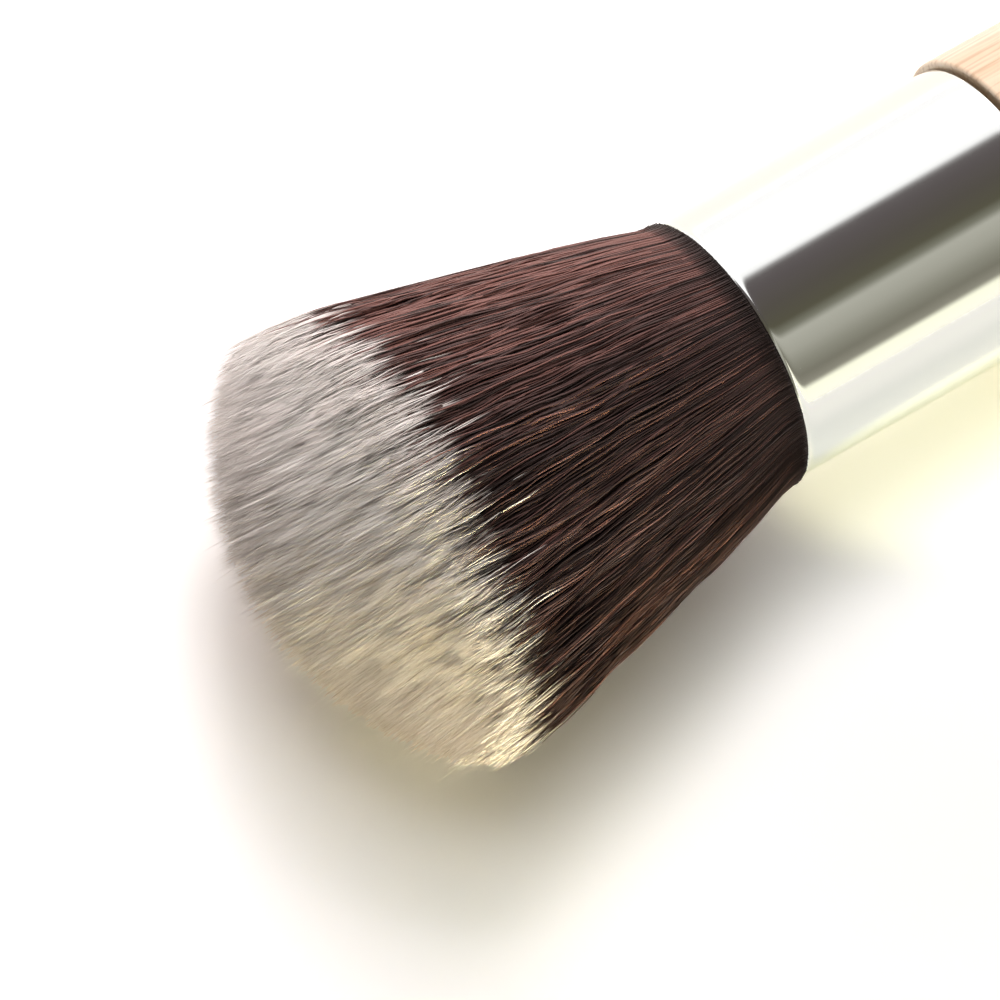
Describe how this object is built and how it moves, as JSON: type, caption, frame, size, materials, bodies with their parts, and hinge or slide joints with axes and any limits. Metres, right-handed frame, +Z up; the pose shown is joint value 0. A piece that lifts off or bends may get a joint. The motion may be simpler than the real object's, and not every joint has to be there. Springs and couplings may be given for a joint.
{
  "type": "makeup brush",
  "caption": "Short makeup brush with a dense domed head of two-tone bristles, a polished metal ferrule with a flared mouth and a light wooden handle.",
  "frame": {"origin": "on the table, under the middle of the brush's bounding box", "axes": "+X runs from the end of the handle towards the bristle tips, +Z is up from the table on which the brush lies, +Y completes the right-handed frame"},
  "size_m": [0.1092, 0.0342, 0.0336],
  "materials": {
    "bristles": "fine satin fibres, dark brown for the lower two thirds and pale cream at the tips",
    "knot_resin": "clear amber resin",
    "ferrule_metal": "polished bright",
    "tenon_glue": "dried glue",
    "handle_wood": "clear satin lacquer over light bamboo"
  },
  "bodies": {
    "root": {"bristle_head": "bristles", "knot_plug": "knot_resin", "ferrule": "ferrule_metal", "tenon_glue": "tenon_glue", "handle": "handle_wood"}
  },
  "joints": []
}
